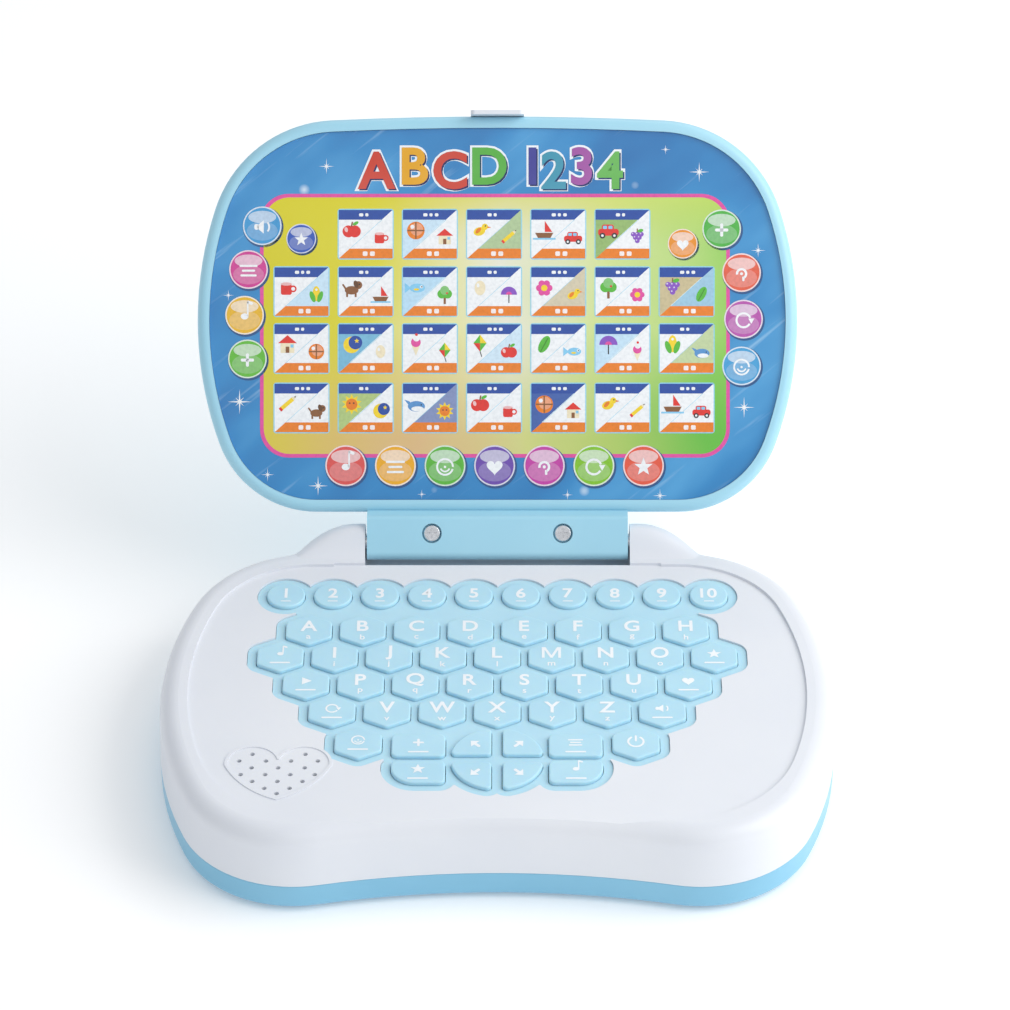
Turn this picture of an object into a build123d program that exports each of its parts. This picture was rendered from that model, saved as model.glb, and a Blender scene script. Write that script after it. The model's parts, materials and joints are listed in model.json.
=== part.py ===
from build123d import *
from math import cos, radians, sin
import os

# Toy laptop computer, standing open. Millimetres, +Z up, -Y towards the child who plays with it.
# The origin is on the table under the middle of the open toy.
os.makedirs("parts", exist_ok=True)

# ---- driving dimensions -------------------------------------------------------------------------
hinge_y = 30.1  # the lid turns about an X axis through (hinge_y, hinge_z)
hinge_z = 34.5
lid_lean = 37.0  # how far the open lid leans back from upright, in degrees

foot_height = 1.5
parting_z = 11.5  # the blue lower shell meets the white upper shell here
rim_z = 33.5
deck_z = 32.5  # floor of the recess that the closed lid sinks into
deck_under_z = 30.0
wall = 2.4
rim_inset = 0.8  # how far the upper shell's walls lean in on their way up
rim_radius = 6.5

hump_back_y = hinge_y + 11.4
notch_half_width = 47.1  # the gap between the ears
bar_half_width = 46.4  # the lid's hinge bar
pin_radius = 2.5
pin_inner_x = 36.0
pin_outer_x = 54.0

mat_top_z = 31.8
mat_flange_z = 28.4
mat_flange_thickness = 1.5
mat_margin = 3.3
key_top_z = 33.2
key_foot_z = 27.9
key_gap = 0.22
board_top_z = 26.5
board_thickness = 1.6

key_pitch = 18.75
letter_row_pitch = 14.8
letter_row_y = hinge_y - 48.3
number_pitch = 16.52
number_row_y = hinge_y - 28.8
lower_row_y = hinge_y - 109.4
oblong_row_y = hinge_y - 110.7
last_row_y = hinge_y - 124.4
oblong_x = 26.5
pad_y = hinge_y - 117.5  # middle of the four direction keys
grille_x = -73.4
grille_y = hinge_y - 124.0

lid_front_n = 1.6  # heights over the lid are measured along its normal, from the hinge axis
lid_split_n = -3.9
lid_back_n = -9.4
lid_top_u = 152.0  # lengths up the lid are measured from the hinge axis
panel_inset = 4.3
panel_depth = 1.2
panel_thickness = 0.8

lid_plane = Plane(
    origin=(0, hinge_y, hinge_z),
    x_dir=(1, 0, 0),
    z_dir=(0, -cos(radians(lid_lean)), sin(radians(lid_lean))),
)
# The same outline seen as the closed lid's footprint on the deck.
closed_lid_plane = Plane(origin=(0, hinge_y, deck_z), x_dir=(1, 0, 0), z_dir=(0, 0, -1))
# Across the hinge bar: local x runs up the lid, local y out of its face.
bar_plane = Plane(
    origin=(0, hinge_y, hinge_z),
    x_dir=(0, sin(radians(lid_lean)), cos(radians(lid_lean))),
    z_dir=(1, 0, 0),
)


def finish_part(builder, name):
    """Names a finished piece and writes its file."""
    builder.part.label = name
    export_step(builder.part, f"parts/{name}.step")


def up_face(shape, grow=0.0):
    """The shape's largest face, looking up its sketch's normal, with its outline moved out by grow."""
    grown = offset(shape, amount=grow, mode=Mode.PRIVATE) if grow else shape
    face = grown.faces().sort_by(SortBy.AREA)[-1]
    return face if face.normal_at().Z > 0 else -face


# ---- outlines -----------------------------------------------------------------------------------
# Base: straight across the hump, an S out to the body, then three arcs down the side and round the
# front corner, and a hollow front edge.
with BuildSketch() as base_outline:
    with BuildLine():
        back = Line((0, hump_back_y), (52.7, hump_back_y))
        hump_end = JernArc(back @ 1, back % 1, 19.0, -56.0)
        hump_foot = JernArc(hump_end @ 1, hump_end % 1, 12.7, 42.0)
        back_corner = JernArc(hump_foot @ 1, hump_foot % 1, 45.0, -55.0)
        side = JernArc(back_corner @ 1, back_corner % 1, 138.0, -44.1)
        front_corner = JernArc(side @ 1, side % 1, 40.6, -78.5)
        front_radius = (front_corner @ 1).X / sin(radians(11.6))
        front = JernArc(front_corner @ 1, front_corner % 1, front_radius, 11.6)
        mirror(about=Plane.YZ)
    make_face()

# Lid: nearly straight across the top, bulging sides, straight bottom.
with BuildSketch() as lid_outline:
    with BuildLine():
        top = JernArc((0, lid_top_u), (1, 0), 1260.0, -2.7)
        top_corner = JernArc(top @ 1, top % 1, 45.8, -69.2)
        bulge = JernArc(top_corner @ 1, top_corner % 1, 128.7, -38.1)
        bottom_corner = JernArc(bulge @ 1, bulge % 1, 37.0, -70.0)
        Line(bottom_corner @ 1, (0, (bottom_corner @ 1).Y))
        mirror(about=Plane.YZ)
    make_face()
lid_bottom_u = (bottom_corner @ 1).Y

# ---- key shapes and layout ----------------------------------------------------------------------
hex_width = 16.1
hex_height = 16.8
with BuildSketch() as hex_key:
    Polygon(
        (0, hex_height / 2),
        (-hex_width / 2, hex_height / 4),
        (-hex_width / 2, -hex_height / 4),
        (0, -hex_height / 2),
        (hex_width / 2, -hex_height / 4),
        (hex_width / 2, hex_height / 4),
    )
    fillet(hex_key.vertices(), 2.0)

with BuildSketch() as round_key:
    Circle(6.7)

with BuildSketch() as oblong_key:
    RectangleRounded(18.3, 11.6, 2.2)


def last_oblong_key(outer):
    """An oblong key with one large corner, on its outer lower side. outer is -1 on the left."""
    with BuildSketch() as shape:
        Rectangle(18.3, 11.6)
        low_corners = shape.vertices().group_by(Axis.Y)[0].sort_by(Axis.X)
        fillet(low_corners[0] if outer < 0 else low_corners[-1], 8.0)
        fillet([v for v in shape.vertices() if abs(v.X) > 9 and abs(v.Y) > 5], 2.2)
    return shape.sketch


def direction_key(across, along):
    """One quarter of the round pad, at its place round the pad's middle."""
    half_gap = 1.85
    with BuildSketch() as shape:
        Circle(15.8)
        with Locations((across * (half_gap + 10), along * (half_gap + 10))):
            Rectangle(20, 20, mode=Mode.INTERSECT)
        fillet(shape.vertices(), 1.6)
    return shape.sketch


def centred_row(count, pitch, y):
    """Points of one row of keys, evenly spaced about the middle."""
    return [((i - (count - 1) / 2) * pitch, y) for i in range(count)]


letter_rows = ["abcdefgh", "ijklmno", "pqrstu", "vwxyz"]
key_layout = []  # (node, [(shape, centre), ...])
for i, centre in enumerate(centred_row(10, number_pitch, number_row_y)):
    key_layout.append((f"number_key_{i + 1}", [(round_key.sketch, centre)]))
function_keys = []
for row, letters in enumerate(letter_rows):
    row_y = letter_row_y - row * letter_row_pitch
    for letter, centre in zip(letters, centred_row(len(letters), key_pitch, row_y)):
        key_layout.append((f"letter_key_{letter}", [(hex_key.sketch, centre)]))
    if row > 0:
        reach = (len(letters) + 1) / 2 * key_pitch
        function_keys += [(hex_key.sketch, (x, row_y)) for x in (-reach, reach)]
lower_reach = 2.5 * key_pitch
function_keys.append((hex_key.sketch, (-lower_reach, lower_row_y)))
for side_sign in (-1, 1):
    function_keys.append((oblong_key.sketch, (side_sign * oblong_x, oblong_row_y)))
    function_keys.append((last_oblong_key(side_sign), (side_sign * oblong_x, last_row_y)))
key_layout.append(("function_keys", function_keys))
key_layout.append(("power_key", [(hex_key.sketch, (lower_reach, lower_row_y))]))
quarters = [direction_key(a, b) for b in (1, -1) for a in (-1, 1)]
key_layout.append(("direction_pad_keys", [(quarter, (0, pad_y)) for quarter in quarters]))

with BuildSketch() as mat_outline:
    for node, keys in key_layout:
        for shape, centre in keys:
            with Locations(centre):
                add(offset(shape, amount=mat_margin, mode=Mode.PRIVATE))
    # Fills the small gaps left between the keys of the middle rows.
    with Locations((0, letter_row_y - 1.5 * letter_row_pitch)):
        Rectangle(5 * key_pitch, 3.6 * letter_row_pitch)
    with Locations((0, (letter_row_y + number_row_y) / 2)):
        Rectangle(7.5 * key_pitch, number_row_y - letter_row_y)
    with Locations((0, pad_y)):
        Rectangle(2 * oblong_x, 26)
    with Locations((0, lower_row_y + 8)):
        Rectangle(4 * key_pitch, 10)
mat_shape = mat_outline.sketch.faces().sort_by(SortBy.AREA)[-1]
mat_face = make_face(mat_shape.outer_wire().edges())

# ---- keys ---------------------------------------------------------------------------------------
key_edge = 0.6
for node, keys in key_layout:
    with BuildPart() as key:
        with BuildSketch(Plane.XY.offset(key_foot_z)):
            for shape, centre in keys:
                with Locations(centre):
                    add(shape)
        extrude(amount=key_top_z - key_foot_z)
        fillet(key.faces().group_by(Axis.Z)[-1].edges(), key_edge)
    finish_part(key, node)

# ---- keypad mat: a raised field in the deck's opening, with a flange under the deck ---------------
with BuildPart() as keypad_mat:
    with BuildSketch(Plane.XY.offset(mat_flange_z)):
        add(up_face(mat_face, 2.0))
    extrude(amount=mat_flange_thickness)
    with BuildSketch(Plane.XY.offset(mat_flange_z)):
        add(up_face(mat_face))
    extrude(amount=mat_top_z - mat_flange_z)
    with BuildSketch(Plane.XY.offset(mat_flange_z)):
        for node, keys in key_layout:
            for shape, centre in keys:
                with Locations(centre):
                    add(offset(shape, amount=key_gap, mode=Mode.PRIVATE))
    extrude(amount=mat_top_z - mat_flange_z, mode=Mode.SUBTRACT)
finish_part(keypad_mat, "keypad_mat")

# ---- base upper shell ---------------------------------------------------------------------------
case_screw_places = [(x * s, hinge_y + y) for x, y in ((98, -41), (97, -118), (40, -143)) for s in (-1, 1)]
board_posts = [(86 * s, hinge_y - 43) for s in (-1, 1)] + [(46 * s, hinge_y - 128.5) for s in (-1, 1)]
boss_meet_z = 18.0
screw_radius = 1.3
# Sections through one ear, going outwards: distance from the middle, then the crest's place behind
# the hinge axis and its height over it, then the place of the back.
ear_sections = [
    (44.0, 1.2, 6.0, 9.1),
    (50.0, 1.2, 6.0, 9.1),
    (54.5, 1.1, 5.5, 9.0),
    (60.2, 0.2, 3.9, 7.0),
    (65.6, -1.6, 1.5, 2.9),
    (69.4, -3.8, -0.4, -2.2),
    (73.5, -6.4, -1.8, -5.4),
]
ear_foot = (-11.0, -1.7)
ear_bottom = -4.0
notch_radius = 8.8
notch_front_y = hinge_y - 11.0
notch_back_z = 31.0
recess_inset = 1.0
recess_back_half = 58.0
hinge_block_half = 60.0
hinge_block_z = 22.5

# One ear of the hump: a ramp up from the deck, a crest, and a back that falls into the rim.
with BuildPart() as ear:
    for x, crest_y, crest_z, back_y in ear_sections:
        with BuildSketch(Plane.YZ.offset(x).shift_origin((x, hinge_y, hinge_z))):
            with BuildLine():
                skin = Spline(
                    ear_foot, (crest_y, crest_z), (back_y, ear_bottom), tangents=[(1, 0.3), (1, 0), (0.3, -1)]
                )
                Polyline(skin @ 1, (ear_foot[0], ear_bottom), skin @ 0)
            make_face()
    loft()

# A heart for the grille's raised outline, about its own middle.
with BuildSketch() as heart:
    with BuildLine():
        lobe = ThreePointArc((0, 6.8), (9.5, 13.2), (17.6, 3.5))
        ThreePointArc(lobe @ 1, (12.2, -5.3), (0, -13.9))
        mirror(about=Plane.YZ)
    make_face()

# Sound holes on a staggered grid, each row as wide as the heart is there.
grille_rows = [(9.2, (8.9,)), (5.7, (4.2, 13.2)), (2.2, (0, 8.9)), (-1.3, (4.2, 12.4))]
grille_rows += [(-4.8, (0, 8.4)), (-8.3, (4.2,)), (-11.0, (0,))]
grille_holes = sorted({(s * x, y) for y, columns in grille_rows for x in columns for s in (-1, 1)})

with BuildPart() as base_top_shell:
    with BuildSketch(Plane.XY.offset(parting_z)):
        add(up_face(base_outline.sketch))
    with BuildSketch(Plane.XY.offset(rim_z)):
        add(up_face(base_outline.sketch, -rim_inset))
    loft(ruled=True)
    fillet(base_top_shell.faces().sort_by(Axis.Z)[-1].edges(), rim_radius)
    add(ear.part)
    add(mirror(ear.part, about=Plane.YZ))
    # Hollow, left solid round the hinge.
    with BuildSketch(Plane.XY.offset(parting_z)):
        add(up_face(base_outline.sketch, -wall - 1.1))
    extrude(amount=deck_under_z - parting_z, mode=Mode.SUBTRACT)
    with BuildSketch(Plane.XY.offset(hinge_block_z)):
        with Locations((0, (notch_front_y - 2.2 + hump_back_y - 2) / 2)):
            Rectangle(2 * hinge_block_half, hump_back_y - 2 - notch_front_y + 2.2)
    extrude(amount=deck_under_z + 0.5 - hinge_block_z)
    # Recess for the closed lid, whose rounded edge comes down just inside it.
    with BuildSketch(closed_lid_plane):
        add(up_face(lid_outline.sketch, -recess_inset))
        with Locations((0, hinge_y - notch_front_y + 10)):
            Rectangle(2 * recess_back_half, 20)
    extrude(amount=-3, mode=Mode.SUBTRACT)
    # Notch for the hinge bar.
    with BuildSketch(Plane.YZ):
        with Locations((hinge_y, hinge_z)):
            Circle(notch_radius)
        with Locations(((notch_front_y + hinge_y) / 2, hinge_z - notch_radius + 10)):
            Rectangle(hinge_y - notch_front_y, 20)
        with Locations((hinge_y + 8, notch_back_z + 10)):
            Rectangle(16, 20)
    extrude(amount=notch_half_width, both=True, mode=Mode.SUBTRACT)
    # Pin bores in the ears.
    with BuildSketch(Plane.YZ):
        with Locations((hinge_y, hinge_z)):
            Circle(pin_radius + 0.06)
    extrude(amount=pin_outer_x + 0.6, both=True, mode=Mode.SUBTRACT)
    # Opening for the keypad.
    with BuildSketch(Plane.XY.offset(deck_under_z - 1)):
        add(up_face(mat_face, 0.15))
    extrude(amount=6, mode=Mode.SUBTRACT)
    # Grille: a raised heart outline and its holes.
    with BuildSketch(Plane.XY.offset(deck_z - 0.5)):
        with Locations((grille_x, grille_y)):
            add(offset(heart.sketch, amount=0.5, mode=Mode.PRIVATE))
            add(offset(heart.sketch, amount=-0.5, mode=Mode.PRIVATE), mode=Mode.SUBTRACT)
    extrude(amount=0.85)
    with BuildSketch(Plane.XY.offset(deck_under_z - 1)):
        with Locations((grille_x, grille_y)):
            with Locations(*grille_holes):
                Circle(0.85)
    extrude(amount=6, mode=Mode.SUBTRACT)
    # Bosses for the case screws, and posts that the contact board hangs from.
    with BuildSketch(Plane.XY.offset(boss_meet_z)):
        with Locations(*case_screw_places):
            Circle(3.6)
            Circle(screw_radius + 0.05, mode=Mode.SUBTRACT)
    extrude(amount=deck_under_z - boss_meet_z + 0.5)
    with BuildSketch(Plane.XY.offset(board_top_z)):
        with Locations(*board_posts):
            Circle(2.6)
    extrude(amount=deck_under_z - board_top_z + 0.5)
finish_part(base_top_shell, "base_top_shell")

# ---- base lower shell ---------------------------------------------------------------------------
floor_thickness = 2.2
cell_radius = 7.1
cell_length = 49.5
cell_pitch = 15.2
bay_width = 58.0  # inside of the battery bay, along the cells
bay_depth = 47.0
bay_y = hinge_y - 80.0
bay_top_z = 20.2
bay_wall = 1.6
door_gap = 0.35
head_seat_z = 8.5

with BuildPart() as base_bottom_shell:
    with BuildSketch(Plane.XY.offset(foot_height)):
        add(up_face(base_outline.sketch))
    extrude(amount=parting_z - foot_height)
    fillet(base_bottom_shell.faces().sort_by(Axis.Z)[0].edges(), 2.6)
    fillet(base_bottom_shell.faces().sort_by(Axis.Z)[-1].edges(), 0.6)
    with BuildSketch(Plane.XY.offset(foot_height + floor_thickness)):
        add(up_face(base_outline.sketch, -wall - 0.6))
    extrude(amount=parting_z, mode=Mode.SUBTRACT)
    # Battery bay: a box that is open below, under the door.
    with BuildSketch(Plane.XY.offset(foot_height)):
        with Locations((0, bay_y)):
            Rectangle(bay_width + 2 * bay_wall, bay_depth + 2 * bay_wall)
    extrude(amount=bay_top_z + bay_wall - foot_height)
    with BuildSketch(Plane.XY.offset(foot_height)):
        with Locations((0, bay_y)):
            Rectangle(bay_width, bay_depth)
    extrude(amount=bay_top_z - foot_height, mode=Mode.SUBTRACT)
    # Seat for the door, round the bay's mouth, with a lug for its screw on the front side.
    with BuildSketch(Plane.XY.offset(foot_height + floor_thickness)):
        with Locations((0, bay_y - bay_depth / 2 - 6.2)):
            Rectangle(16, 11)
    extrude(amount=6)
    with BuildSketch(Plane.XY.offset(foot_height)):
        with Locations((0, bay_y)):
            Rectangle(bay_width + 2 * bay_wall - 0.8, bay_depth + 2 * bay_wall - 0.8)
        with Locations((0, bay_y - bay_depth / 2 - 5)):
            Rectangle(12, 10)
    extrude(amount=2.0, mode=Mode.SUBTRACT)
    with BuildSketch(Plane.XY.offset(foot_height)):
        with Locations((0, bay_y - bay_depth / 2 - 6)):
            Circle(1.15)
    extrude(amount=8.0, mode=Mode.SUBTRACT)
    # Counterbored bosses for the case screws.
    with BuildSketch(Plane.XY.offset(foot_height)):
        with Locations(*case_screw_places):
            Circle(4.6)
    extrude(amount=boss_meet_z - foot_height)
    with BuildSketch(Plane.XY.offset(foot_height)):
        with Locations(*case_screw_places):
            Circle(3.1)
    extrude(amount=head_seat_z - foot_height, mode=Mode.SUBTRACT)
    with BuildSketch(Plane.XY.offset(foot_height)):
        with Locations(*case_screw_places):
            Circle(screw_radius + 0.2)
    extrude(amount=boss_meet_z, mode=Mode.SUBTRACT)
finish_part(base_bottom_shell, "base_bottom_shell")

# ---- battery parts ------------------------------------------------------------------------------
cell_z = foot_height + 2.0 + 0.4 + cell_radius
cell_ys = [bay_y + k * cell_pitch for k in (-1, 0, 1)]
with BuildPart() as battery_door:
    with BuildSketch(Plane.XY.offset(foot_height)):
        with Locations((0, bay_y)):
            Rectangle(bay_width + 2 * bay_wall - 0.8 - 2 * door_gap, bay_depth + 2 * bay_wall - 0.8 - 2 * door_gap)
        with Locations((0, bay_y - bay_depth / 2 - 5)):
            Rectangle(12 - 2 * door_gap, 10 - 2 * door_gap)
    extrude(amount=1.8)
    # Finger ridges across the door.
    with BuildSketch(Plane.XY.offset(foot_height)):
        with Locations((0, bay_y + 12)):
            with GridLocations(0, 2.4, 1, 5):
                SlotOverall(26, 1.1)
    extrude(amount=0.6, mode=Mode.SUBTRACT)
    with BuildSketch(Plane.XY.offset(foot_height)):
        with Locations((0, bay_y - bay_depth / 2 - 6)):
            Circle(1.4)
    extrude(amount=1.8, mode=Mode.SUBTRACT)
    with BuildSketch(Plane.XY.offset(foot_height)):
        with Locations((0, bay_y - bay_depth / 2 - 6)):
            Circle(2.6)
    extrude(amount=1.0, mode=Mode.SUBTRACT)
finish_part(battery_door, "battery_door")


def cross_head_screw(seat_plane, places, head_radius, head_height, shank_radius, shank_length):
    """Solids of pan-head screws: the head lies on the plane's +Z side and the shank goes below it."""
    with BuildPart() as screws:
        with BuildSketch(seat_plane):
            with Locations(*places):
                Circle(head_radius)
        extrude(amount=head_height)
        fillet(screws.edges().filter_by(GeomType.CIRCLE), head_height * 0.3)
        with BuildSketch(seat_plane):
            with Locations(*places):
                Circle(shank_radius)
        extrude(amount=-shank_length)
        with BuildSketch(seat_plane.offset(head_height)):
            with Locations(*places):
                Rectangle(head_radius * 1.15, head_radius * 0.28)
                Rectangle(head_radius * 0.28, head_radius * 1.15)
        extrude(amount=-head_height * 0.7, mode=Mode.SUBTRACT)
    return screws


facing_down = Plane(origin=(0, 0, 0), x_dir=(1, 0, 0), z_dir=(0, 0, -1))
battery_door_screw = cross_head_screw(
    facing_down.offset(-foot_height - 1.0), [(0, -(bay_y - bay_depth / 2 - 6))], 2.3, 0.95, 1.1, 7.0
)
finish_part(battery_door_screw, "battery_door_screw")
case_screws = cross_head_screw(
    facing_down.offset(-head_seat_z), [(x, -y) for x, y in case_screw_places], 2.8, 1.8, screw_radius, 16.0
)
finish_part(case_screws, "case_screws")

with BuildPart() as battery_cells:
    with BuildSketch(Plane.YZ.offset(-cell_length / 2)):
        with Locations(*[(y, cell_z) for y in cell_ys]):
            Circle(cell_radius)
    extrude(amount=cell_length)
    for k, y in enumerate(cell_ys):
        end = 1 if k % 2 else -1
        with BuildSketch(Plane.YZ.offset(end * cell_length / 2)):
            with Locations((y, cell_z)):
                Circle(2.7)
        extrude(amount=end * 1.0)
finish_part(battery_cells, "battery_cells")

# A flat plate behind each button end, and a coil spring shown as a tapered tube behind each base.
with BuildPart() as battery_contacts:
    for k, y in enumerate(cell_ys):
        end = 1 if k % 2 else -1
        with BuildSketch(Plane.YZ.offset(end * (bay_width / 2 - 0.4))):
            with Locations((y, cell_z)):
                Rectangle(10, 10)
        extrude(amount=end * 0.4)
        with BuildSketch(Plane.YZ.offset(-end * (bay_width / 2 - 0.4))):
            with Locations((y, cell_z)):
                Rectangle(10, 10)
        extrude(amount=-end * 0.4)
        with BuildSketch(Plane.YZ.offset(-end * (bay_width / 2 - 0.4))):
            with Locations((y, cell_z)):
                Circle(4.0)
        extrude(amount=end * (bay_width / 2 - 0.4 - cell_length / 2), taper=18)
finish_part(battery_contacts, "battery_contacts")

# ---- rubber feet --------------------------------------------------------------------------------
foot_places = [(78 * s, hinge_y + y) for y in (-20, -143) for s in (-1, 1)]
with BuildPart() as rubber_feet:
    with BuildSketch():
        with Locations(*foot_places):
            Circle(6)
    extrude(amount=foot_height)
    fillet(rubber_feet.faces().group_by(Axis.Z)[0].edges(), 0.5)
finish_part(rubber_feet, "rubber_feet")

# ---- contact board, its components, and the loudspeaker -----------------------------------------
board_bottom_z = board_top_z - board_thickness
with BuildPart() as contact_board:
    with BuildSketch(Plane.XY.offset(board_bottom_z)):
        with Locations((0, hinge_y - 60)):
            Rectangle(180, 84)
        with Locations((0, hinge_y - 118)):
            Rectangle(100, 34)
    extrude(amount=board_thickness)
finish_part(contact_board, "contact_board")

with BuildPart() as board_components:
    with BuildSketch(Plane.XY.offset(board_bottom_z)):
        with Locations((-62, hinge_y - 60)):
            Rectangle(16, 16)
        with Locations((56, hinge_y - 48)):
            Rectangle(10, 7)
    extrude(amount=-2.4)
    with BuildSketch(Plane.XY.offset(board_bottom_z)):
        with Locations((62, hinge_y - 70), (62, hinge_y - 80), (-48, hinge_y - 84)):
            Circle(2.6)
    extrude(amount=-6.0)
finish_part(board_components, "board_components")

speaker_radius = 15.0
speaker_top_z = deck_under_z
with BuildPart() as speaker_basket:
    with BuildSketch(Plane.XZ.offset(-grille_y)):
        with BuildLine():
            Polyline(
                (grille_x + 13.4, speaker_top_z),
                (grille_x + speaker_radius, speaker_top_z),
                (grille_x + speaker_radius, speaker_top_z - 1.4),
                (grille_x + 13.0, speaker_top_z - 1.4),
                (grille_x + 8.4, speaker_top_z - 6.4),
                (grille_x + 5.0, speaker_top_z - 6.4),
                (grille_x + 5.0, speaker_top_z - 5.4),
                (grille_x + 7.8, speaker_top_z - 5.4),
                (grille_x + 12.2, speaker_top_z - 1.0),
                close=True,
            )
        make_face()
    revolve(axis=Axis((grille_x, grille_y, 0), (0, 0, 1)))
finish_part(speaker_basket, "speaker_basket")

with BuildPart() as speaker_cone:
    with BuildSketch(Plane.XZ.offset(-grille_y)):
        with BuildLine():
            Polyline(
                (grille_x, speaker_top_z - 3.4),
                (grille_x + 4.2, speaker_top_z - 3.9),
                (grille_x + 11.6, speaker_top_z - 0.7),
                (grille_x + 11.6, speaker_top_z - 1.1),
                (grille_x + 4.4, speaker_top_z - 4.4),
                (grille_x, speaker_top_z - 3.9),
                close=True,
            )
        make_face()
    revolve(axis=Axis((grille_x, grille_y, 0), (0, 0, 1)))
finish_part(speaker_cone, "speaker_cone")

with BuildPart() as speaker_magnet:
    with BuildSketch(Plane.XY.offset(speaker_top_z - 6.4)):
        with Locations((grille_x, grille_y)):
            Circle(8.0)
    extrude(amount=-4.6)
    fillet(speaker_magnet.edges().filter_by(GeomType.CIRCLE), 0.4)
finish_part(speaker_magnet, "speaker_magnet")

# ---- lid ----------------------------------------------------------------------------------------
bar_front_n = 5.0
bar_back_n = -6.3
bar_foot_u = -6.3
screw_x = 23.3
screw_u = 3.1
screw_seat_n = 2.9
bar_foot = (bar_foot_u, bar_front_n)
bar_brow = (9.0, bar_front_n)

with BuildPart() as lid_front_frame:
    with BuildSketch(lid_plane.offset(lid_split_n)):
        add(up_face(lid_outline.sketch))
    extrude(amount=lid_front_n - lid_split_n)
    front_face = lid_front_frame.faces().sort_by(Axis(lid_plane.origin, lid_plane.z_dir))[-1]
    fillet(front_face.edges(), 3.2)
    with BuildSketch(lid_plane.offset(lid_front_n - panel_depth - panel_thickness)):
        add(up_face(lid_outline.sketch, -panel_inset))
    extrude(amount=6, mode=Mode.SUBTRACT)
    with BuildSketch(lid_plane.offset(lid_split_n)):
        add(up_face(lid_outline.sketch, -wall))
    extrude(amount=1.8, mode=Mode.SUBTRACT)
    # Front half of the hinge bar.
    with BuildSketch(bar_plane.offset(-bar_half_width)) as bar_section:
        with BuildLine():
            Polyline(
                (bar_foot_u, 0),
                (bar_foot_u, bar_front_n),
                (9.0, bar_front_n),
                (lid_bottom_u + 0.6, lid_front_n - 1.2),
                (lid_bottom_u + 0.6, 0),
                close=True,
            )
        make_face()
        fillet(bar_section.vertices().sort_by_distance(bar_foot)[0], 2.6)
        fillet(bar_section.vertices().sort_by_distance(bar_brow)[0], 1.6)
    extrude(amount=2 * bar_half_width)
    # Screw recesses and holes, and half-round grooves for the pins.
    with BuildSketch(lid_plane.offset(screw_seat_n)):
        with Locations((-screw_x, screw_u), (screw_x, screw_u)):
            Circle(3.5)
    extrude(amount=6, mode=Mode.SUBTRACT)
    with BuildSketch(lid_plane.offset(-1)):
        with Locations((-screw_x, screw_u), (screw_x, screw_u)):
            Circle(1.35)
    extrude(amount=6, mode=Mode.SUBTRACT)
    for end in (-1, 1):
        with BuildSketch(bar_plane.offset(end * pin_inner_x)):
            Circle(pin_radius + 0.02)
        extrude(amount=end * 20, mode=Mode.SUBTRACT)
finish_part(lid_front_frame, "lid_front_frame")

with BuildPart() as lid_back_cover:
    with BuildSketch(lid_plane.offset(lid_split_n)):
        add(up_face(lid_outline.sketch))
    extrude(amount=lid_back_n - lid_split_n)
    back_face = lid_back_cover.faces().sort_by(Axis(lid_plane.origin, lid_plane.z_dir))[0]
    fillet(back_face.edges(), 4.6)
    with BuildSketch(lid_plane.offset(lid_split_n)):
        add(up_face(lid_outline.sketch, -wall - 1.6))
    extrude(amount=lid_back_n - lid_split_n + 1.8, mode=Mode.SUBTRACT)
    # Back half of the hinge bar.
    with BuildSketch(bar_plane.offset(-bar_half_width)) as back_section:
        with BuildLine():
            Polyline(
                (bar_foot_u, 0),
                (bar_foot_u, bar_back_n),
                (lid_bottom_u + 3.0, bar_back_n),
                (lid_bottom_u + 3.0, lid_split_n),
                (lid_bottom_u - 0.05, lid_split_n),
                (lid_bottom_u - 0.05, 0),
                close=True,
            )
        make_face()
        fillet(back_section.vertices().sort_by_distance((bar_foot_u, bar_back_n))[0], 3.4)
    extrude(amount=2 * bar_half_width)
    with BuildSketch(lid_plane):
        with Locations((-screw_x, screw_u), (screw_x, screw_u)):
            Circle(1.15)
    extrude(amount=-4.5, mode=Mode.SUBTRACT)
    for end in (-1, 1):
        with BuildSketch(bar_plane.offset(end * pin_inner_x)):
            Circle(pin_radius + 0.02)
        extrude(amount=end * 20, mode=Mode.SUBTRACT)
finish_part(lid_back_cover, "lid_back_cover")

with BuildPart() as graphic_panel:
    with BuildSketch(lid_plane.offset(lid_front_n - panel_depth - panel_thickness)):
        add(up_face(lid_outline.sketch, -panel_inset - 0.1))
    extrude(amount=panel_thickness)
finish_part(graphic_panel, "graphic_panel")

hinge_screws = cross_head_screw(
    lid_plane.offset(screw_seat_n), [(-screw_x, screw_u), (screw_x, screw_u)], 3.0, 1.6, 1.1, 6.6
)
finish_part(hinge_screws, "hinge_screws")

with BuildPart() as hinge_pins:
    for end in (-1, 1):
        with BuildSketch(bar_plane.offset(end * pin_inner_x)):
            Circle(pin_radius)
        extrude(amount=end * (pin_outer_x - pin_inner_x))
finish_part(hinge_pins, "hinge_pins")

# A thin tongue on the free edge that reaches over the front of the base when the lid is shut.
latch_width = 19.0
latch_thickness = 1.5
with BuildPart() as lid_latch:
    with BuildSketch(lid_plane.offset(lid_split_n - 3.0)):
        with Locations((0, lid_top_u + latch_thickness / 2)):
            Rectangle(latch_width, latch_thickness)
    extrude(amount=lid_front_n + 9.0 - lid_split_n)
    fillet(lid_latch.edges().filter_by(Axis((0, 0, 0), lid_plane.y_dir)), 1.6)
finish_part(lid_latch, "lid_latch")
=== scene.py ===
import json
from math import cos, pi, radians, sin

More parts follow.
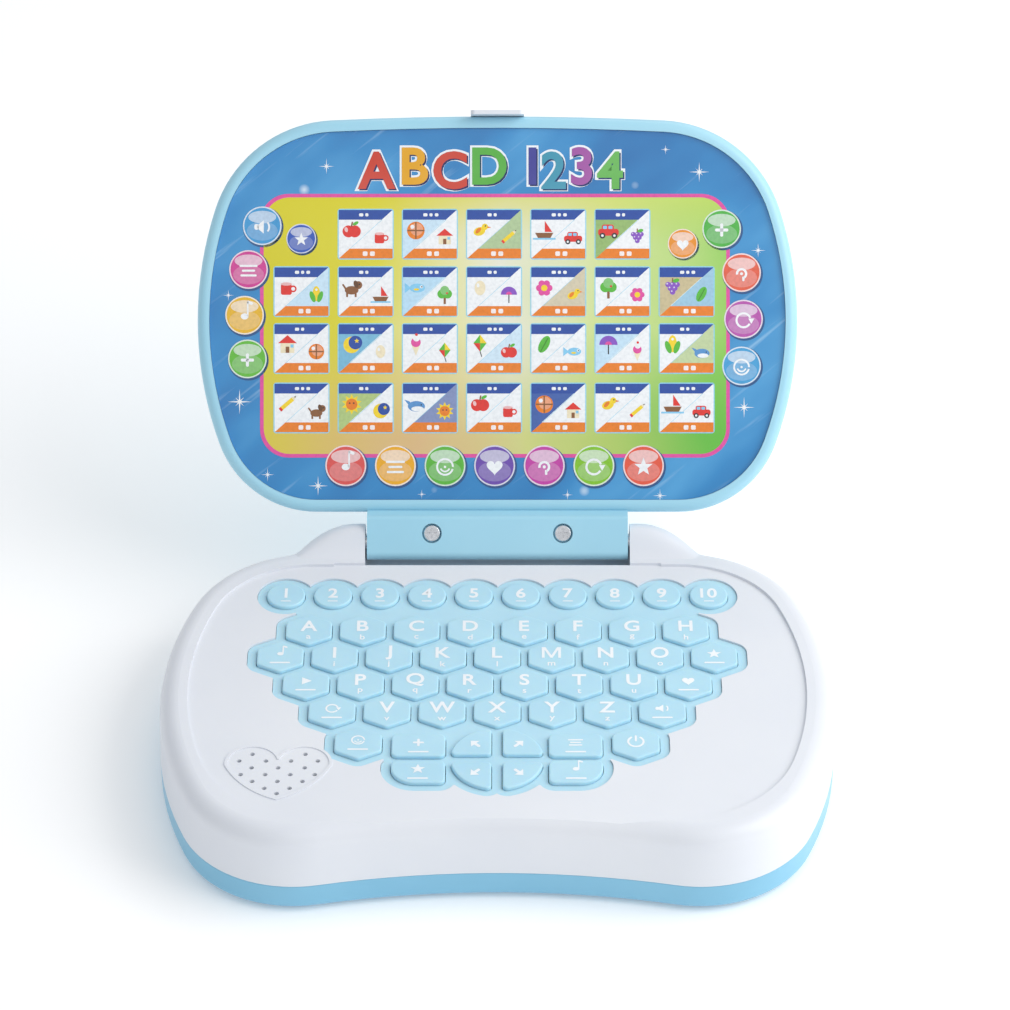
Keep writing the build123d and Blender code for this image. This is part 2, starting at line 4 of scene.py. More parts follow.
import bpy
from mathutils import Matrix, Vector


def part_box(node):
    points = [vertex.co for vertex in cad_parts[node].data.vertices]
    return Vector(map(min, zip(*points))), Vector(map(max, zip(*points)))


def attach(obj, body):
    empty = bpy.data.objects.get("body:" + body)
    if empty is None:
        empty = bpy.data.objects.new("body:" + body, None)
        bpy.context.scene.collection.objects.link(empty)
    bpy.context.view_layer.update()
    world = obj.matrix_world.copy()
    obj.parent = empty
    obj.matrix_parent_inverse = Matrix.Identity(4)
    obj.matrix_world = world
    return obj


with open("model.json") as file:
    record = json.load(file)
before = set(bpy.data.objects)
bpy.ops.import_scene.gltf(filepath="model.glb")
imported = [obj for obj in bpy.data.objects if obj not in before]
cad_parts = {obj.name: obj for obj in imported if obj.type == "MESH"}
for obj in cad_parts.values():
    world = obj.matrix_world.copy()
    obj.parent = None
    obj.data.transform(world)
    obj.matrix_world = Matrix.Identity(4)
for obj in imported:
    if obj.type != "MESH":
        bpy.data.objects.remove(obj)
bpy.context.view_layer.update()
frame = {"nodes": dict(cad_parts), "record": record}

MM = 0.001
SCENE = bpy.context.scene
JOINTS = {j["name"]: j for j in frame["record"]["behaviour"]["joints"]}
HINGE = Vector(JOINTS["lid_hinge"]["pos_m"])
LEAN = radians(37.0)  # how far the open lid leans back from upright
LID_UP = Vector((0, sin(LEAN), cos(LEAN)))
LID_OUT = Vector((0, -cos(LEAN), sin(LEAN)))
PANEL_N = 0.4 * MM  # the picture panel's face, over the hinge axis
KEY_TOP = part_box("letter_key_a")[1][2]


# ---- camera, floor and light --------------------------------------------------------------------
def add_camera():
    elevation = radians(37.0)
    distance = 1.6
    aim = Vector((0.0027, 0.0508, 0.0354))
    forward = Vector((0, cos(elevation), -sin(elevation)))
    data = bpy.data.cameras.new("camera")
    data.lens = 158.2
    data.sensor_width = 36.0
    data.clip_end = 20.0
    camera = bpy.data.objects.new("camera", data)
    camera.location = aim - forward * distance
    camera.rotation_euler = forward.to_track_quat("-Z", "Y").to_euler()
    SCENE.collection.objects.link(camera)
    SCENE.camera = camera


def add_area_light(name, place, target, size, power, color):
    data = bpy.data.lights.new(name, "AREA")
    data.shape = "RECTANGLE"
    data.size, data.size_y = size
    data.energy = power
    data.color = color
    lamp = bpy.data.objects.new(name, data)
    lamp.location = place
    lamp.rotation_euler = (Vector(target) - Vector(place)).to_track_quat("-Z", "Y").to_euler()
    SCENE.collection.objects.link(lamp)


def add_surroundings():
    world = bpy.data.worlds.new("studio")
    SCENE.world = world
    world.use_nodes = True
    background = world.node_tree.nodes["Background"]
    background.inputs["Color"].default_value = (0.93, 0.96, 1.0, 1)
    background.inputs["Strength"].default_value = 0.6
    SCENE.view_settings.view_transform = "Standard"
    add_area_light("key_light", (1.15, -0.25, 0.95), (0, 0, 0.02), (1.3, 1.3), 15.5, (1.0, 0.99, 0.97))
    add_area_light("front_light", (0.1, -1.2, 1.4), (0, 0, 0.05), (1.2, 0.6), 1.3, (0.96, 0.98, 1.0))
    add_area_light("back_light", (0.3, 1.0, 1.1), (0, 0, 0.05), (1.0, 0.6), 2.2, (1.0, 1.0, 1.0))
    mesh = bpy.data.meshes.new("floor")
    half = 4.0
    mesh.from_pydata(
        [(-half, -half, 0), (half, -half, 0), (half, half, 0), (-half, half, 0)], [], [(0, 1, 2, 3)]
    )
    floor = bpy.data.objects.new("floor", mesh)
    SCENE.collection.objects.link(floor)
    material, tree, shader = new_material("pale_floor", (0.97, 0.97, 0.968), 0.6)
    noise = add_noise(tree, 3.0, 2.0)
    tint(tree, shader, noise, (0.965, 0.965, 0.962), (0.985, 0.985, 0.982))
    shader.inputs["Emission Color"].default_value = (1, 1, 1, 1)
    shader.inputs["Emission Strength"].default_value = 0.15
    floor.data.materials.append(material)


# ---- materials ----------------------------------------------------------------------------------
def new_material(name, color, roughness):
    material = bpy.data.materials.new(name)
    material.use_nodes = True
    tree = material.node_tree
    shader = tree.nodes["Principled BSDF"]
    shader.inputs["Base Color"].default_value = (*color, 1)
    shader.inputs["Roughness"].default_value = roughness
    return material, tree, shader


def add_noise(tree, scale, detail=3.0):
    place = tree.nodes.new("ShaderNodeTexCoord")
    noise = tree.nodes.new("ShaderNodeTexNoise")
    noise.inputs["Scale"].default_value = scale
    noise.inputs["Detail"].default_value = detail
    tree.links.new(place.outputs["Object"], noise.inputs["Vector"])
    return noise.outputs["Fac"]


def ramp(tree, value, stops):
    node = tree.nodes.new("ShaderNodeValToRGB")
    elements = node.color_ramp.elements
    while len(elements) < len(stops):
        elements.new(0.5)
    for element, (at, color) in zip(elements, stops):
        element.position = at
        element.color = (*color, 1)
    tree.links.new(value, node.inputs["Fac"])
    return node.outputs["Color"]


def tint(tree, shader, value, low, high):
    """Colours the shader between two colours, by a value from 0.3 to 0.7."""
    tree.links.new(ramp(tree, value, [(0.3, low), (0.7, high)]), shader.inputs["Base Color"])


def vary_roughness(tree, shader, value, low, high):
    node = tree.nodes.new("ShaderNodeMapRange")
    node.inputs["From Min"].default_value = 0.3
    node.inputs["From Max"].default_value = 0.7
    node.inputs["To Min"].default_value = low
    node.inputs["To Max"].default_value = high
    tree.links.new(value, node.inputs["Value"])
    tree.links.new(node.outputs["Result"], shader.inputs["Roughness"])


def add_bump(tree, shader, height, strength, distance):
    bump = tree.nodes.new("ShaderNodeBump")
    bump.inputs["Strength"].default_value = strength
    bump.inputs["Distance"].default_value = distance
    tree.links.new(height, bump.inputs["Height"])
    tree.links.new(bump.outputs["Normal"], shader.inputs["Normal"])


def plastic(name, low, high, roughness, grain=0.06, glow=0.0):
    """Moulded plastic: a fine spark-eroded grain, slow drifts of colour, light that soaks in a little."""
    material, tree, shader = new_material(name, low, roughness)
    tint(tree, shader, add_noise(tree, 22.0, 3.0), low, high)
    vary_roughness(tree, shader, add_noise(tree, 90.0, 4.0), roughness - 0.03, roughness + 0.07)
    add_bump(tree, shader, add_noise(tree, 2600.0, 2.0), grain, 0.00005)
    shader.inputs["Subsurface Weight"].default_value = glow
    shader.inputs["Subsurface Radius"].default_value = (0.004, 0.004, 0.005)
    shader.inputs["Subsurface Scale"].default_value = 0.6
    shader.inputs["IOR"].default_value = 1.5
    return material


def silicone(name, low, high):
    """Soft keypad rubber: dull, slightly see-through at its edges, with a fine matt skin."""
    material, tree, shader = new_material(name, low, 0.52)
    tint(tree, shader, add_noise(tree, 60.0, 4.0), low, high)
    vary_roughness(tree, shader, add_noise(tree, 320.0, 3.0), 0.44, 0.6)
    add_bump(tree, shader, add_noise(tree, 6500.0, 2.0), 0.16, 0.00005)
    shader.inputs["Subsurface Weight"].default_value = 0.25
    shader.inputs["Subsurface Radius"].default_value = (0.002, 0.003, 0.004)
    shader.inputs["Subsurface Scale"].default_value = 0.5
    shader.inputs["Sheen Weight"].default_value = 0.08
    return material


def metal(name, low, high, roughness):
    material, tree, shader = new_material(name, low, roughness)
    tint(tree, shader, add_noise(tree, 700.0, 3.0), low, high)
    vary_roughness(tree, shader, add_noise(tree, 1500.0, 3.0), roughness - 0.08, roughness + 0.12)
    add_bump(tree, shader, add_noise(tree, 2500.0, 2.0), 0.25, 0.00004)
    shader.inputs["Metallic"].default_value = 1.0
    return material


def printed(name):
    """Ink on the picture panel: the colour is the mesh's own, with a light fleck, under a clear film."""
    material, tree, shader = new_material(name, (1, 1, 1), 0.22)
    ink = tree.nodes.new("ShaderNodeVertexColor")
    ink.layer_name = "ink"
    mix = tree.nodes.new("ShaderNodeMix")
    mix.data_type = "RGBA"
    mix.blend_type = "MULTIPLY"
    mix.inputs["Factor"].default_value = 1.0
    fleck = ramp(tree, add_noise(tree, 900.0, 4.0), [(0.25, (0.86, 0.87, 0.88)), (0.6, (1, 1, 1))])
    tree.links.new(ink.outputs["Color"], mix.inputs["A"])
    tree.links.new(fleck, mix.inputs["B"])
    tree.links.new(mix.outputs["Result"], shader.inputs["Base Color"])
    vary_roughness(tree, shader, add_noise(tree, 140.0, 3.0), 0.18, 0.26)
    shader.inputs["Coat Weight"].default_value = 0.3
    shader.inputs["Coat Roughness"].default_value = 0.12
    return material


def lid_coordinates(tree):
    """A node that gives a point's place on the lid: x across, y up from the hinge, in metres."""
    place = tree.nodes.new("ShaderNodeTexCoord")
    mapping = tree.nodes.new("ShaderNodeMapping")
    mapping.vector_type = "TEXTURE"
    mapping.inputs["Location"].default_value = HINGE
    mapping.inputs["Rotation"].default_value = (pi / 2 - LEAN, 0, 0)
    tree.links.new(place.outputs["Object"], mapping.inputs["Vector"])
    return mapping.outputs["Vector"]


def maths(tree, operation, first, second):
    node = tree.nodes.new("ShaderNodeMath")
    node.operation = operation
    node.use_clamp = operation == "SUBTRACT"
    for socket, value in zip(node.inputs, (first, second)):
        if isinstance(value, (int, float)):
            socket.default_value = value
        else:
            tree.links.new(value, socket)
    return node.outputs["Value"]


def mix_colors(tree, factor, first, second, blend="MIX"):
    node = tree.nodes.new("ShaderNodeMix")
    node.data_type = "RGBA"
    node.blend_type = blend
    for socket, value in (
        (node.inputs["Factor"], factor), (node.inputs["A"], first), (node.inputs["B"], second)
    ):
        if isinstance(value, (int, float)):
            socket.default_value = value
        elif isinstance(value, tuple):
            socket.default_value = (*value, 1)
        else:
            tree.links.new(value, socket)
    return node.outputs["Result"]


def turned(tree, vector, angle, size):
    """The vector along axes turned by an angle, measured in the given lengths."""
    node = tree.nodes.new("ShaderNodeMapping")
    node.vector_type = "TEXTURE"
    node.inputs["Rotation"].default_value = (0, 0, angle)
    node.inputs["Scale"].default_value = size
    tree.links.new(vector, node.inputs["Vector"])
    return node.outputs["Vector"]


def streaky_blue(name):
    """The panel's printed ground: blue with light slanting streaks and a scatter of soft white lights."""
    material, tree, shader = new_material(name, (0.03, 0.25, 0.62), 0.2)
    spot = lid_coordinates(tree)
    clouds = tree.nodes.new("ShaderNodeTexNoise")
    clouds.inputs["Scale"].default_value = 1.0
    clouds.inputs["Detail"].default_value = 3.0
    tree.links.new(turned(tree, spot, radians(42), (0.11, 0.045, 1.0)), clouds.inputs["Vector"])
    ground = ramp(
        tree, clouds.outputs["Fac"],
        [
            (0.3, (0.016, 0.16, 0.43)), (0.48, (0.03, 0.25, 0.56)), (0.6, (0.08, 0.36, 0.68)),
            (0.74, (0.36, 0.60, 0.86)),
        ],
    )
    rays = tree.nodes.new("ShaderNodeTexNoise")
    rays.inputs["Scale"].default_value = 1.0
    rays.inputs["Detail"].default_value = 5.0
    tree.links.new(turned(tree, spot, radians(38), (0.075, 0.0045, 1.0)), rays.inputs["Vector"])
    ray = ramp(tree, rays.outputs["Fac"], [(0.6, (0, 0, 0)), (0.76, (1, 1, 1))])
    ground = mix_colors(tree, maths(tree, "MULTIPLY", ray, 0.45), ground, (0.62, 0.86, 1.0))
    lights = tree.nodes.new("ShaderNodeTexVoronoi")
    lights.inputs["Scale"].default_value = 62.0
    tree.links.new(spot, lights.inputs["Vector"])
    dots = ramp(tree, lights.outputs["Distance"], [(0.0, (1, 1, 1)), (0.13, (0, 0, 0))])
    ground = mix_colors(tree, maths(tree, "MULTIPLY", dots, 0.7), ground, (0.9, 0.97, 1.0))
    tree.links.new(ground, shader.inputs["Base Color"])
    vary_roughness(tree, shader, add_noise(tree, 120.0, 3.0), 0.16, 0.26)
    shader.inputs["Coat Weight"].default_value = 0.35
    shader.inputs["Coat Roughness"].default_value = 0.1
    return material


def sunny_field(name):
    """The card field: yellow on the left and top, pale in the middle, green on the right, rose below."""
    material, tree, shader = new_material(name, (0.9, 0.85, 0.2), 0.22)
    spot = lid_coordinates(tree)
    split = tree.nodes.new("ShaderNodeSeparateXYZ")
    tree.links.new(spot, split.inputs["Vector"])
    noise = tree.nodes.new("ShaderNodeTexNoise")
    noise.inputs["Scale"].default_value = 16.0
    tree.links.new(spot, noise.inputs["Vector"])
    drift = maths(tree, "MULTIPLY", noise.outputs["Fac"], 0.3)
    across = maths(tree, "ADD", maths(tree, "MULTIPLY", split.outputs["X"], 5.2), 0.40)
    across = maths(tree, "ADD", across, drift)
    side = ramp(
        tree, across,
        [
            (0.02, (0.66, 0.58, 0.0)), (0.3, (0.72, 0.66, 0.03)), (0.46, (0.80, 0.78, 0.38)),
            (0.58, (0.82, 0.80, 0.66)), (0.74, (0.66, 0.76, 0.30)), (1.0, (0.20, 0.58, 0.05)),
        ],
    )
    high = tree.nodes.new("ShaderNodeMapRange")
    high.inputs["From Min"].default_value = 0.106
    high.inputs["From Max"].default_value = 0.125
    high.inputs["To Max"].default_value = 0.75
    tree.links.new(split.outputs["Y"], high.inputs["Value"])
    top = ramp(tree, across, [(0.45, (0.70, 0.62, 0.0)), (0.85, (0.62, 0.72, 0.12))])
    side = mix_colors(tree, high.outputs["Result"], side, top)
    low = tree.nodes.new("ShaderNodeMapRange")
    low.inputs["From Min"].default_value = 0.075
    low.inputs["From Max"].default_value = 0.038
    tree.links.new(split.outputs["Y"], low.inputs["Value"])
    foot = ramp(
        tree, across,
        [
            (0.05, (0.70, 0.60, 0.02)), (0.4, (0.72, 0.42, 0.22)), (0.6, (0.60, 0.62, 0.12)),
            (0.95, (0.10, 0.48, 0.04)),
        ],
    )
    base = mix_colors(tree, maths(tree, "MULTIPLY", low.outputs["Result"], 0.8), side, foot)
    tree.links.new(base, shader.inputs["Base Color"])
    vary_roughness(tree, shader, add_noise(tree, 120.0, 3.0), 0.18, 0.26)
    shader.inputs["Coat Weight"].default_value = 0.35
    shader.inputs["Coat Roughness"].default_value = 0.1
    return material


MATERIALS = {}


def make_materials():
    MATERIALS["white"] = plastic("white_abs", (0.76, 0.785, 0.84), (0.80, 0.82, 0.865), 0.34, glow=0.06)
    # painted shade: the lower case and battery door get a darker copy of the lid's light-blue plastic,
    # standing in for the shade on the base's walls
    MATERIALS["blue_base_painted_shade"] = plastic(
        "blue_abs_base_painted_shade", (0.22, 0.52, 0.72), (0.25, 0.56, 0.76), 0.33, glow=0.04
    )
    MATERIALS["blue_lid"] = plastic("blue_abs_lid", (0.37, 0.68, 0.83), (0.41, 0.72, 0.86), 0.32, glow=0.04)
    MATERIALS["keys"] = silicone("key_silicone", (0.45, 0.73, 0.875), (0.49, 0.77, 0.90))
    MATERIALS["mat"] = silicone("mat_silicone", (0.46, 0.73, 0.87), (0.50, 0.77, 0.895))
    MATERIALS["screw"] = metal("zinc_screw", (0.62, 0.63, 0.65), (0.8, 0.8, 0.82), 0.28)
    MATERIALS["nickel"] = metal("nickel_strip", (0.6, 0.58, 0.52), (0.76, 0.74, 0.68), 0.3)
    MATERIALS["board"] = plastic("solder_mask", (0.04, 0.16, 0.05), (0.06, 0.22, 0.07), 0.4)
    MATERIALS["epoxy"] = plastic("epoxy_black", (0.02, 0.02, 0.022), (0.035, 0.035, 0.037), 0.45)
    MATERIALS["steel"] = metal("black_steel", (0.10, 0.10, 0.11), (0.2, 0.2, 0.21), 0.4)
    MATERIALS["paper"] = plastic("cone_paper", (0.03, 0.03, 0.03), (0.06, 0.06, 0.06), 0.8, grain=0.5)
    MATERIALS["cell"] = plastic("cell_jacket", (0.02, 0.13, 0.11), (0.03, 0.17, 0.14), 0.31)
    MATERIALS["foot"] = silicone("foot_rubber", (0.55, 0.58, 0.6), (0.62, 0.65, 0.67))
    MATERIALS["ink"] = plastic("white_legend_ink", (0.86, 0.90, 0.94), (0.93, 0.955, 0.98), 0.4, grain=0.05)
    MATERIALS["drop"] = plastic("title_drop_ink", (0.01, 0.02, 0.10), (0.02, 0.04, 0.16), 0.31)
    MATERIALS["ground"] = streaky_blue("panel_ground")
    MATERIALS["field"] = sunny_field("card_field")
    MATERIALS["print"] = printed("panel_print")


NODE_MATERIALS = {
    "base_top_shell": "white",
    "base_bottom_shell": "blue_base_painted_shade",
    "battery_door": "blue_base_painted_shade",
    "keypad_mat": "mat",
    "lid_front_frame": "blue_lid",
    "lid_back_cover": "blue_lid",
    "lid_latch": "white",
    "graphic_panel": "ground",
    "hinge_screws": "screw",
    "hinge_pins": "screw",
    "case_screws": "screw",
    "battery_door_screw": "screw",
    "battery_contacts": "nickel",
    "battery_cells": "cell",
    "contact_board": "board",
    "board_components": "epoxy",
    "speaker_basket": "steel",
    "speaker_magnet": "steel",
    "speaker_cone": "paper",
    "rubber_feet": "foot",
}


def dress_nodes():
    for node in frame["nodes"]:
        thing = bpy.data.objects[node]
        chosen = MATERIALS[NODE_MATERIALS.get(node, "keys")]
        if thing.data.materials:
            thing.data.materials[0] = chosen
        else:
            thing.data.materials.append(chosen)


# ---- flat shapes --------------------------------------------------------------------------------
def disc(radius, count=28, squash=1.0):
    return [
        (radius * cos(2 * pi * k / count), radius * squash * sin(2 * pi * k / count)) for k in range(count)
    ]


def rounded(width, height, radius, count=6):
    points = []
    for corner, (sx, sy) in enumerate(((1, 1), (-1, 1), (-1, -1), (1, -1))):
        middle = (sx * (width / 2 - radius), sy * (height / 2 - radius))
        for k in range(count + 1):
            angle = pi / 2 * (corner + k / count)
            points.append((middle[0] + radius * cos(angle), middle[1] + radius * sin(angle)))
    return points


def star(radius, inner, spikes, start=pi / 2):
    points = []
    for k in range(2 * spikes):
        reach = radius if k % 2 == 0 else inner
        angle = start + pi * k / spikes
        points.append((reach * cos(angle), reach * sin(angle)))
    return points


def heart(size):
    points = []
    for k in range(28):
        t = 2 * pi * k / 28
        x = 16 * sin(t) ** 3
        y = 13 * cos(t) - 5 * cos(2 * t) - 2 * cos(3 * t) - cos(4 * t)
        points.append((-size * x / 34, size * y / 34))
    return points


def moved(points, x, y, turn=0.0, scale=1.0):
    c, s = cos(turn) * scale, sin(turn) * scale
    return [(x + c * a - s * b, y + s * a + c * b) for a, b in points]


# ---- printed layers -----------------------------------------------------------------------------
class Print:
    """Collects closed thin prisms with a colour each, and makes one object of them."""

    def __init__(self):
        self.points, self.faces, self.colors = [], [], []

    def add(self, outline, color, low, high):
        start, count = len(self.points), len(outline)
        self.points += [(x, y, low) for x, y in outline] + [(x, y, high) for x, y in outline]
        self.faces.append(tuple(start + count + k for k in range(count)))
        self.faces.append(tuple(start + k for k in reversed(range(count))))
        for k in range(count):
            after = (k + 1) % count
            self.faces.append((start + k, start + after, start + count + after, start + count + k))
        self.colors += [color] * (count + 2)

    def finish(self, name, material, placed):
        mesh = bpy.data.meshes.new(name)
        mesh.from_pydata([placed(*p) for p in self.points], [], self.faces)
        ink = mesh.color_attributes.new("ink", "FLOAT_COLOR", "CORNER")
        values = []
        for face, color in zip(self.faces, self.colors):
            values += [*color, 1.0] * len(face)
        ink.data.foreach_set("color", values)
        mesh.materials.append(material)
        mesh.validate()
        piece = bpy.data.objects.new(name, mesh)
        SCENE.collection.objects.link(piece)
        return piece


def on_panel(x, y, n):
    """A point of the picture panel from millimetres across, up from the hinge, and out of its face."""
    return HINGE + Vector((x * MM, 0, 0)) + LID_UP * (y * MM) + LID_OUT * (PANEL_N + n * MM)


WHITE = (0.93, 0.94, 0.95)
SKY = (0.25, 0.62, 0.88)
NAVY = (0.015, 0.07, 0.36)
ORANGE = (0.86, 0.22, 0.01)
RED = (0.78, 0.03, 0.02)
YELLOW = (0.95, 0.68, 0.02)
GREEN = (0.10, 0.50, 0.04)
PINK = (0.80, 0.08, 0.36)
PURPLE = (0.26, 0.09, 0.55)
BROWN = (0.26, 0.10, 0.03)
BLACK = (0.02, 0.02, 0.025)
CREAM = (0.92, 0.80, 0.55)


def lighter(color, amount):
    return tuple(c + (1 - c) * amount for c in color)


def darker(color, amount):
    return tuple(c * (1 - amount) for c in color)


# Small pictures, each a list of (outline, colour) in a box about 9 wide, drawn bottom layer first.
def apple():
    return [
        (moved(disc(2.1), -1.1, -0.3), RED), (moved(disc(2.1), 1.1, -0.3), RED),
        (moved(rounded(0.5, 1.8, 0.2), 0.1, 2.2, -0.2), BROWN),
        (moved(disc(1.1, 16, 0.5), 1.4, 2.5, 0.5), GREEN),
        (moved(disc(0.6, 12, 1.5), -1.9, 0.3, 0.3), lighter(RED, 0.55)),
    ]


def ball():
    return [
        (disc(3.1), ORANGE), (moved(disc(2.2), 0.3, 0.4), lighter(ORANGE, 0.2)),
        (rounded(6.0, 0.5, 0.2), BROWN), (rounded(0.5, 6.0, 0.2), BROWN),
        (moved(disc(0.7), -1.2, 1.3), WHITE),
    ]


def car():
    return [
        (moved(rounded(7.2, 2.4, 0.9), 0, -0.6), RED), (moved(rounded(4.2, 2.0, 0.8), -0.2, 1.1), RED),
        (moved(rounded(1.4, 1.1, 0.3), -1.2, 1.1), SKY), (moved(rounded(1.4, 1.1, 0.3), 0.7, 1.1), SKY),
        (moved(disc(1.0), -2.1, -1.8), BLACK), (moved(disc(1.0), 2.1, -1.8), BLACK),
        (moved(disc(0.45), -2.1, -1.8), WHITE), (moved(disc(0.45), 2.1, -1.8), WHITE),
    ]


def dog():
    return [
        (moved(disc(2.4, 24, 0.62), 0, -0.8), BROWN), (moved(disc(1.4), 2.3, 1.0), BROWN),
        (moved(disc(0.8, 16, 1.7), 1.5, 1.3, 0.3), darker(BROWN, 0.5)),
        (moved(rounded(0.7, 2.0, 0.3), -1.6, -2.2), BROWN),
        (moved(rounded(0.7, 2.0, 0.3), 1.4, -2.2), BROWN), (moved(disc(0.3), 2.7, 1.3), BLACK),
        (moved(rounded(0.6, 2.0, 0.3), -2.6, 0.5, 0.6), BROWN),
    ]


def ear_of_corn():
    return [
        (moved(disc(1.5, 20, 2.0), 0, 0.4), YELLOW), (moved(disc(1.0, 16, 2.3), -1.5, -0.8, 0.35), GREEN),
        (moved(disc(1.0, 16, 2.3), 1.5, -0.8, -0.35), GREEN), (moved(disc(0.45), 0, 2.0), WHITE),
    ]


def fish():
    return [
        (moved(disc(2.7, 24, 0.58), 0.5, 0), SKY), ([(-1.6, 0), (-3.9, 1.8), (-3.9, -1.8)], SKY),
        (moved(disc(0.5), 2.0, 0.4), WHITE), (moved(disc(0.25), 2.1, 0.4), BLACK),
        (moved(disc(1.0, 14, 0.4), 0.2, -0.5), YELLOW),
    ]


def grapes():
    places = [(-1.6, 1.2), (0, 1.2), (1.6, 1.2), (-0.8, -0.1), (0.8, -0.1), (0, -1.4)]
    berries = [(moved(disc(0.95, 16), x, y), PURPLE) for x, y in places]
    glints = [(moved(disc(0.3, 10), x - 0.3, y + 0.3), lighter(PURPLE, 0.6)) for x, y in places]
    stalk = (moved(rounded(0.4, 1.6, 0.2), 0, 2.7), BROWN)
    leaf_shape = (moved(disc(1.2, 14, 0.55), 1.2, 2.6, 0.3), GREEN)
    return berries + glints + [stalk, leaf_shape]


def house():
    return [
        (moved(rounded(4.8, 3.6, 0.2), 0, -1.0), CREAM), ([(-3.3, 0.6), (3.3, 0.6), (0, 3.4)], RED),
        (moved(rounded(1.3, 2.2, 0.2), 0, -1.7), BROWN), (moved(rounded(1.1, 1.1, 0.1), 1.6, -0.4), SKY),
    ]


def ice_cream():
    return [
        ([(-1.5, 0), (1.5, 0), (0, -3.8)], CREAM), (moved(disc(1.7), 0, 0.9), PINK),
        (moved(disc(1.2), 0.2, 2.4), WHITE), (moved(disc(0.5), 0.2, 3.6), RED),
    ]


def kite():
    return [
        ([(0, 3.6), (2.3, 0.6), (0, -2.4), (-2.3, 0.6)], GREEN), ([(0, 3.6), (2.3, 0.6), (0, 0.6)], YELLOW),
        ([(0, -2.4), (-2.3, 0.6), (0, 0.6)], RED), (moved(rounded(0.3, 2.0, 0.1), 0.3, -3.2, 0.3), BLACK),
    ]


def leaf():
    return [
        (moved(disc(1.7, 20, 1.9), 0, 0.2, -0.5), GREEN),
        (moved(rounded(0.35, 5.6, 0.15), 0, 0, -0.5), darker(GREEN, 0.5)),
    ]


def moon():
    return [
        (disc(2.9), YELLOW), (moved(disc(2.4), 1.3, 0.8), NAVY), (moved(star(0.9, 0.4, 5), 1.8, 1.4), YELLOW)
    ]


def flower():
    angles = [2 * pi * k / 6 for k in range(6)]
    petals = [(moved(disc(1.15, 16), 1.75 * cos(angle), 1.75 * sin(angle)), PINK) for angle in angles]
    return petals + [(disc(1.1), YELLOW)]


def pencil():
    return [
        (moved(rounded(5.4, 1.4, 0.1), -0.2, 0.1, 0.7), YELLOW),
        (moved([(0, 0.7), (1.6, 0), (0, -0.7)], 1.85, 1.85, 0.7), CREAM),
        (moved([(0, 0.3), (0.7, 0), (0, -0.3)], 2.5, 2.45, 0.7), BLACK),
        (moved(rounded(0.9, 1.4, 0.2), -2.3, -1.75, 0.7), RED),
    ]


def egg():
    return [(moved(disc(1.9, 24, 1.35), 0, 0), CREAM), (moved(disc(0.5, 12, 1.5), -0.7, 0.9, 0.2), WHITE)]


def sun():
    return [
        (star(3.6, 2.2, 10), YELLOW), (disc(2.0), ORANGE), (moved(disc(0.28), -0.7, 0.4), BLACK),
        (moved(disc(0.28), 0.7, 0.4), BLACK),
    ]


def tree_picture():
    return [
        (moved(rounded(0.9, 3.0, 0.2), 0, -2.2), BROWN), (moved(disc(1.8), -1.1, 0.3), GREEN),
        (moved(disc(1.8), 1.1, 0.3), GREEN), (moved(disc(1.8), 0, 1.7), lighter(GREEN, 0.15)),
        (moved(disc(0.4), 0.9, 0.6), RED),
    ]


def umbrella():
    half = [p for p in disc(3.2, 32) if p[1] >= -0.01]
    return [
        (half, PURPLE), (moved([p for p in disc(1.2, 24) if p[1] >= -0.01], 0, 0), PINK),
        (moved(rounded(0.4, 3.4, 0.15), 0, -1.6), BLACK),
    ]


def boat():
    return [
        ([(-3.2, -0.8), (3.2, -0.8), (2.2, -2.6), (-2.2, -2.6)], BROWN),
        ([(0.2, -0.5), (0.2, 3.4), (2.8, -0.5)], RED), ([(-0.3, -0.5), (-0.3, 2.6), (-2.3, -0.5)], WHITE),
        (moved(rounded(8.0, 0.6, 0.2), 0, -2.9), SKY),
    ]


def bird():
    return [
        (moved(disc(2.1, 22, 0.7), -0.2, -0.3, 0.3), YELLOW), (moved(disc(1.1), 1.7, 1.3), YELLOW),
        ([(2.6, 1.5), (3.9, 1.1), (2.6, 0.8)], ORANGE), (moved(disc(1.3, 16, 0.5), -0.6, 0.0, 0.8), ORANGE),
        (moved(disc(0.25), 1.9, 1.6), BLACK),
    ]


def whale():
    return [
        (moved(disc(3.0, 26, 0.62), 0.2, -0.7), (0.10, 0.30, 0.62)),
        (moved(disc(2.2, 20, 0.4), 0.6, -1.6), WHITE),
        ([(-2.4, -0.4), (-4.0, 1.6), (-2.4, 1.1), (-1.5, 0.4)], (0.10, 0.30, 0.62)),
        (moved(disc(0.25), 1.9, -0.2), BLACK),
    ]


def cup():
    return [
        (moved(rounded(3.8, 3.8, 0.7), -0.4, -0.5), RED), (moved(disc(1.2), 2.0, -0.3), RED),
        (moved(disc(0.65), 2.0, -0.3), WHITE), (moved(disc(1.9, 20, 0.3), -0.4, 1.4), lighter(RED, 0.5)),
    ]


PICTURES = [
    apple, ball, bird, boat, car, cup, dog, fish, egg, flower, tree_picture, grapes, house, moon, ice_cream,
    kite, leaf, umbrella, ear_of_corn, pencil, sun, whale,
]

